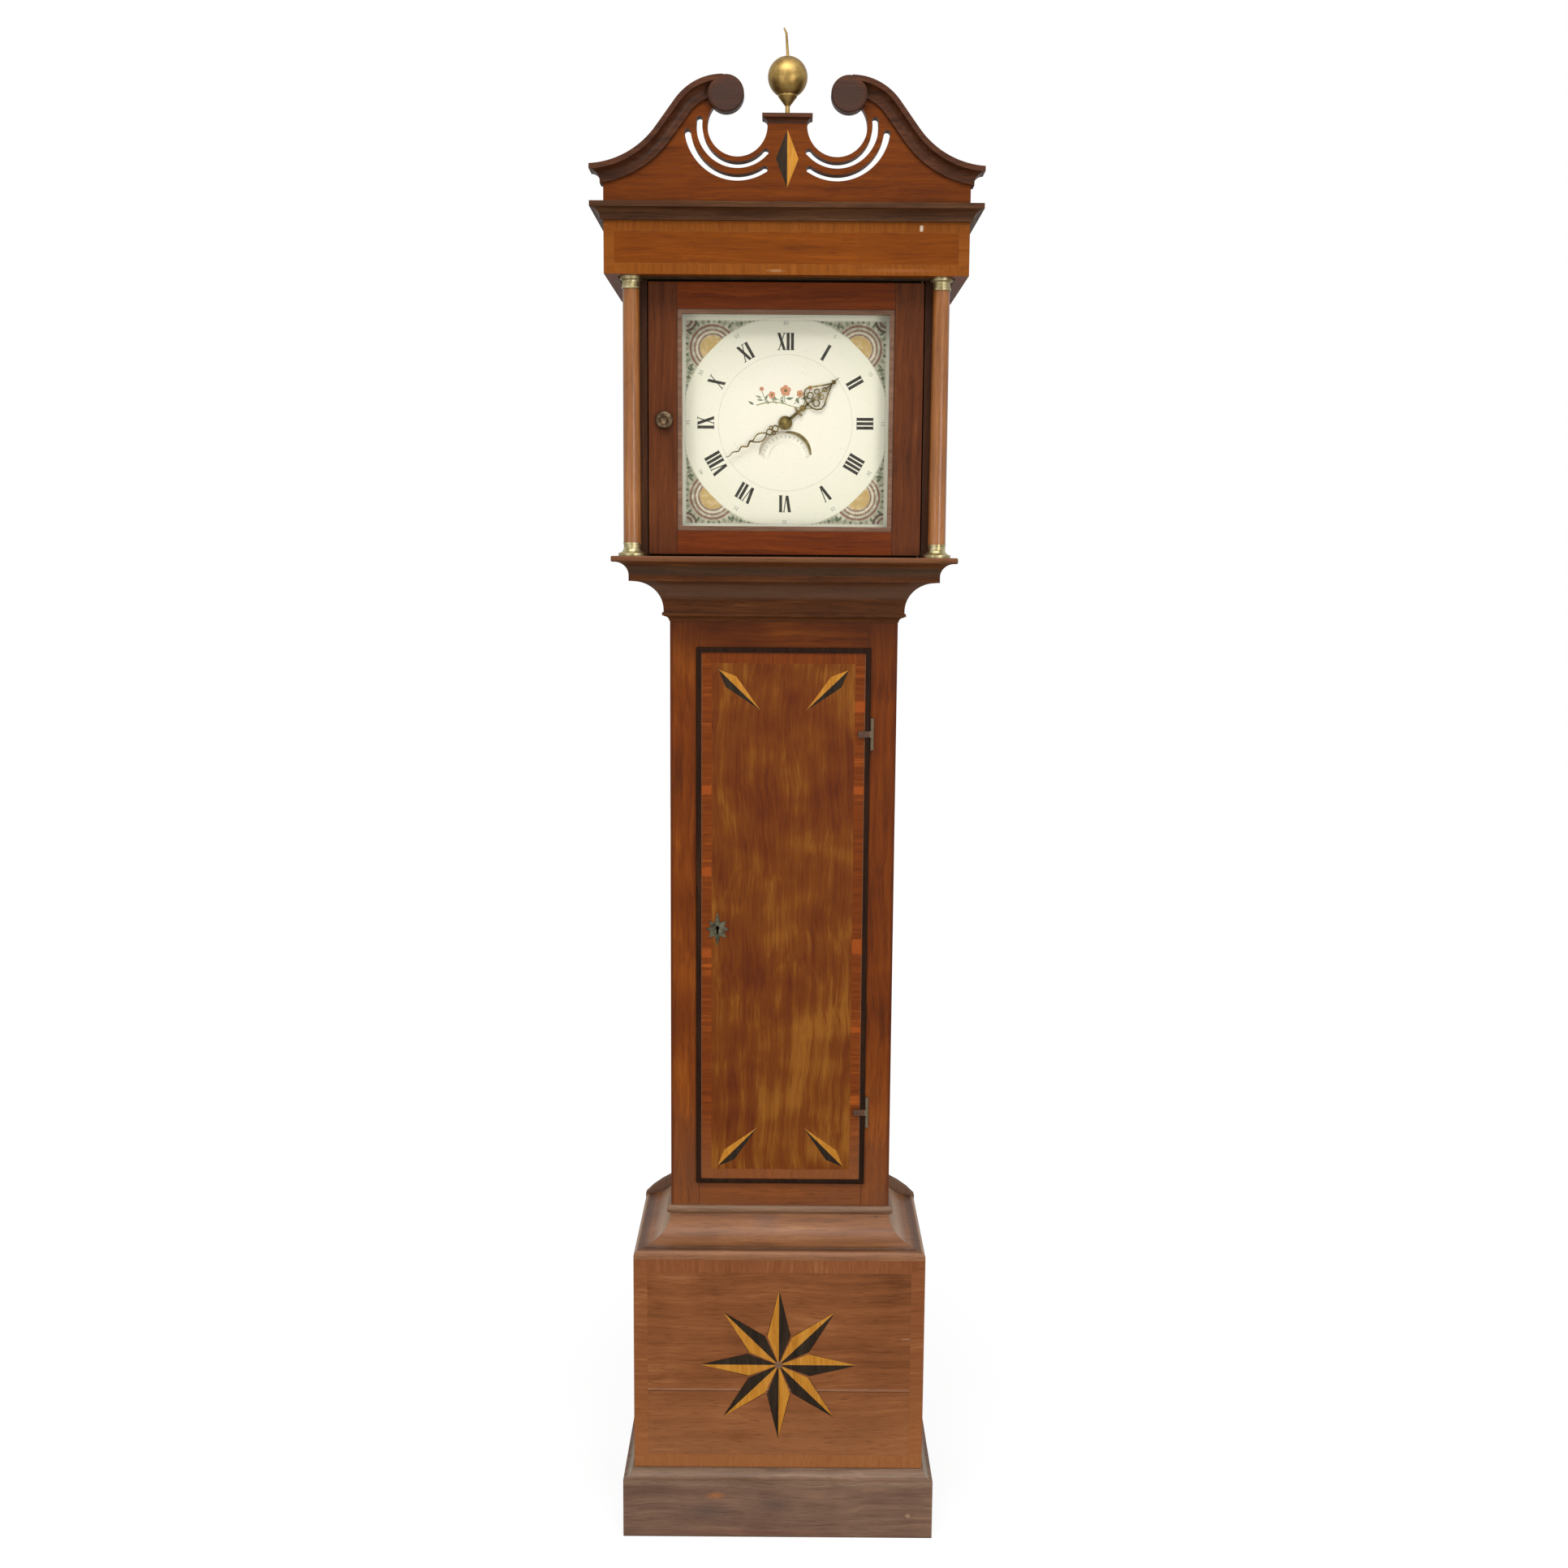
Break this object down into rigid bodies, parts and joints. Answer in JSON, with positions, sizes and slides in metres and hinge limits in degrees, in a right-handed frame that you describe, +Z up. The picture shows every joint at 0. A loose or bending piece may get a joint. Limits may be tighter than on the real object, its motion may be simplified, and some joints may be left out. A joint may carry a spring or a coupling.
{
  "type": "longcase clock",
  "caption": "Tall longcase clock with a swan-neck pediment, slide-off hood, glazed hood door, painted dial, trunk door, inlaid base and rope-driven movement.",
  "frame": {"origin": "centre of the footprint, on the floor", "axes": "+X to the viewer's right across the front, +Y from the front to the wall, +Z up"},
  "size_m": [0.5182, 0.269, 2.1155],
  "materials": {
    "oak": "waxed satin",
    "mahogany": "polished",
    "golden_mahogany": "polished",
    "dark_moulding": "polished",
    "worn_pine": "worn stain",
    "crossbanding": "polished",
    "inlay": "polished",
    "pine": "bare",
    "brass": "aged",
    "steel": "satin",
    "lead": "dull",
    "dial_paint": "painted iron sheet",
    "rope": "twisted cord",
    "glass": "clear"
  },
  "bodies": {
    "case": {"plinth_skirt": "worn_pine", "plinth_moulding": "dark_moulding", "base_front": "oak", "base_crossbanding": "crossbanding", "base_star": "inlay", "shoulder_moulding": "worn_pine", "trunk_nosing": "dark_moulding", "trunk_front_frame": "oak", "case_sides": "oak", "backboard": "pine", "throat_moulding": "dark_moulding", "seatboard": "pine", "case_hinge_leaves": "brass", "movement_frame": "brass", "dial_plate": "dial_paint", "bell": "brass", "rope_over_sprockets": "rope"},
    "trunk_door": {"trunk_door_panel": "oak", "trunk_door_lip": "dark_moulding", "trunk_door_banding": "crossbanding", "trunk_door_kites": "inlay", "escutcheon": "steel", "lock_case": "steel", "door_hinge_leaves": "brass"},
    "lock_bolt": {"lock_bolt": "brass"},
    "hood": {"hood_base": "dark_moulding", "hood_sides": "mahogany", "hood_inner_boards": "pine", "frieze": "golden_mahogany", "frieze_banding": "crossbanding", "cornice": "dark_moulding", "pediment_board": "mahogany", "pediment_cap": "dark_moulding", "pediment_diamond": "inlay", "swan_necks": "dark_moulding", "finial": "brass", "columns": "oak", "column_brasses": "brass"},
    "hood_door": {"hood_door_frame": "mahogany", "hood_door_bead": "dark_moulding", "hood_door_glass": "glass", "hood_door_brasses": "brass"},
    "centre": {"centre_arbor": "brass", "minute_hand": "brass"},
    "hour": {"hour_hand": "brass"},
    "minute_wheel": {"minute_wheel": "brass"},
    "date_disc": {"date_disc": "dial_paint"},
    "great": {"great_wheel": "brass"},
    "third": {"third_wheel": "brass"},
    "escape": {"escape_wheel": "brass"},
    "anchor": {"anchor": "steel"},
    "pendulum": {"pendulum_rod": "steel", "pendulum_bob": "lead"},
    "weight": {"drive_weight": "lead", "weight_rope": "rope"},
    "weight_pulley": {"weight_pulley": "brass"},
    "counterweight": {"counterweight": "lead", "counter_rope": "rope"},
    "strike": {"strike_wheel": "brass"},
    "hammer": {"hammer": "steel"}
  },
  "joints": [
    {"name": "trunk_door_hinge", "type": "hinge", "parent": "case", "child": "trunk_door", "pos_m": [0.1259, -0.0507, 0.91], "axis": [0, 0, 1], "range_deg": [0, 110]},
    {"name": "lock_bolt_slide", "type": "slide", "parent": "trunk_door", "child": "lock_bolt", "axis": [-1, 0, 0], "range_m": [0, 0.008]},
    {"name": "hood_slide", "type": "slide", "parent": "case", "child": "hood", "axis": [0, -1, 0], "range_m": [0, 0.26]},
    {"name": "hood_door_hinge", "type": "hinge", "parent": "hood", "child": "hood_door", "pos_m": [0.1835, -0.075, 1.6165], "axis": [0, 0, 1], "range_deg": [0, 90]},
    {"name": "centre_arbor_turn", "type": "hinge", "parent": "case", "child": "centre", "pos_m": [0, -0.018, 1.6145], "axis": [0, 1, 0], "continuous": true},
    {"name": "hour_hand_turn", "type": "hinge", "parent": "case", "child": "hour", "pos_m": [0, -0.028, 1.6145], "axis": [0, 1, 0], "continuous": true},
    {"name": "minute_wheel_turn", "type": "hinge", "parent": "case", "child": "minute_wheel", "pos_m": [0.02263, -0.024, 1.59187], "axis": [0, 1, 0], "continuous": true},
    {"name": "great_wheel_turn", "type": "hinge", "parent": "case", "child": "great", "pos_m": [0.038, 0.03, 1.59965], "axis": [0, 1, 0], "continuous": true},
    {"name": "third_wheel_turn", "type": "hinge", "parent": "case", "child": "third", "pos_m": [0.02, 0.009, 1.642], "axis": [0, 1, 0], "continuous": true},
    {"name": "escape_wheel_turn", "type": "hinge", "parent": "case", "child": "escape", "pos_m": [0, 0.02, 1.66209], "axis": [0, 1, 0], "continuous": true},
    {"name": "date_disc_turn", "type": "hinge", "parent": "case", "child": "date_disc", "pos_m": [0, -0.0435, 1.5665], "axis": [0, 1, 0], "continuous": true},
    {"name": "pendulum_swing", "type": "hinge", "parent": "case", "child": "pendulum", "pos_m": [0, 0.07, 1.69349], "axis": [0, 1, 0], "range_deg": [-3, 3]},
    {"name": "anchor_rock", "type": "hinge", "parent": "case", "child": "anchor", "pos_m": [0, 0.02, 1.69349], "axis": [0, 1, 0], "range_deg": [-3, 3]},
    {"name": "weight_travel", "type": "slide", "parent": "case", "child": "weight", "axis": [0, 0, -1], "range_m": [-0.22, 0.8], "deforming": ["weight_rope"]},
    {"name": "weight_pulley_turn", "type": "hinge", "parent": "weight", "child": "weight_pulley", "pos_m": [0, 0.0235, 1.15], "axis": [0, 1, 0], "continuous": true},
    {"name": "counterweight_travel", "type": "slide", "parent": "case", "child": "counterweight", "axis": [0, 0, 1], "range_m": [-0.22, 0.8], "deforming": ["counter_rope"]},
    {"name": "strike_wheel_turn", "type": "hinge", "parent": "case", "child": "strike", "pos_m": [-0.038, 0.035, 1.59965], "axis": [0, 1, 0], "continuous": true},
    {"name": "hammer_lift", "type": "hinge", "parent": "case", "child": "hammer", "pos_m": [-0.052, 0.015, 1.6835], "axis": [0, 1, 0], "range_deg": [-8, 0]}
  ],
  "couplings": [
    {"joint": "hour_hand_turn", "follows": "centre_arbor_turn", "ratio": 0.083333},
    {"joint": "minute_wheel_turn", "follows": "centre_arbor_turn", "ratio": -1},
    {"joint": "great_wheel_turn", "follows": "centre_arbor_turn", "ratio": -0.13333},
    {"joint": "third_wheel_turn", "follows": "centre_arbor_turn", "ratio": -7.5},
    {"joint": "escape_wheel_turn", "follows": "centre_arbor_turn", "ratio": 60},
    {"joint": "anchor_rock", "follows": "pendulum_swing", "ratio": 1},
    {"joint": "counterweight_travel", "follows": "weight_travel", "ratio": 1}
  ]
}
